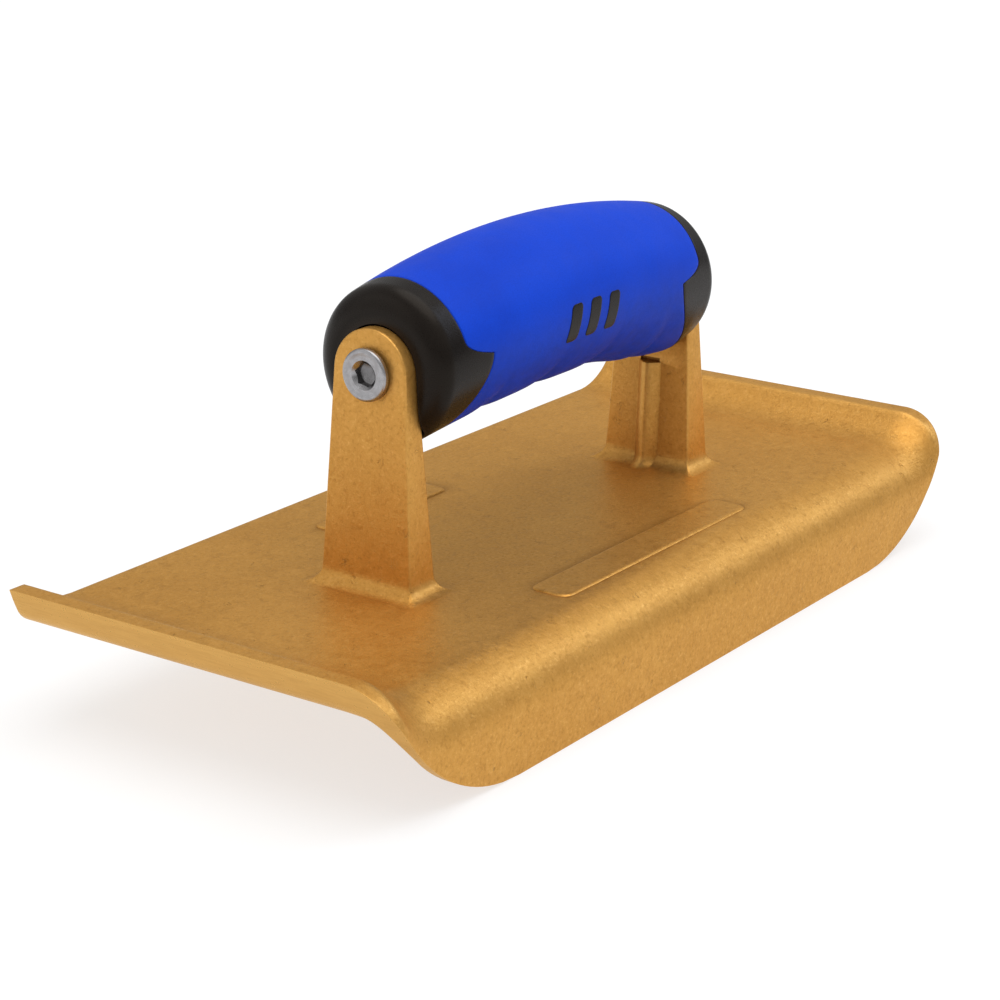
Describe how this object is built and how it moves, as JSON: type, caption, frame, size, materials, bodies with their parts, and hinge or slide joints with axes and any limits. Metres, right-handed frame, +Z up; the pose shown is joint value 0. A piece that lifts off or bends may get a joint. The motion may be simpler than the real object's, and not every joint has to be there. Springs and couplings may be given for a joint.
{
  "type": "concrete hand edger",
  "caption": "Bronze concrete hand edger with a rounded bit along one long side, curled ends and a soft camel-back grip between posts.",
  "frame": {"origin": "on the flat sole, under the middle of the plate", "axes": "+X along the tool and its grip, -Y towards the bit, +Z up from the sole to the grip"},
  "size_m": [0.2292, 0.1, 0.0946],
  "materials": {
    "bronze": "as-cast bronze, fine grain, satin",
    "black_plastic": "moulded, satin",
    "blue_rubber": "soft moulded rubber, satin",
    "zinc_steel": "zinc plated",
    "insert_brass": "turned"
  },
  "bodies": {
    "root": {"edger_casting": "bronze", "handle_core": "black_plastic", "grip_sleeve": "blue_rubber", "near_screw": "zinc_steel", "far_screw": "zinc_steel", "near_insert": "insert_brass", "far_insert": "insert_brass"}
  },
  "joints": []
}
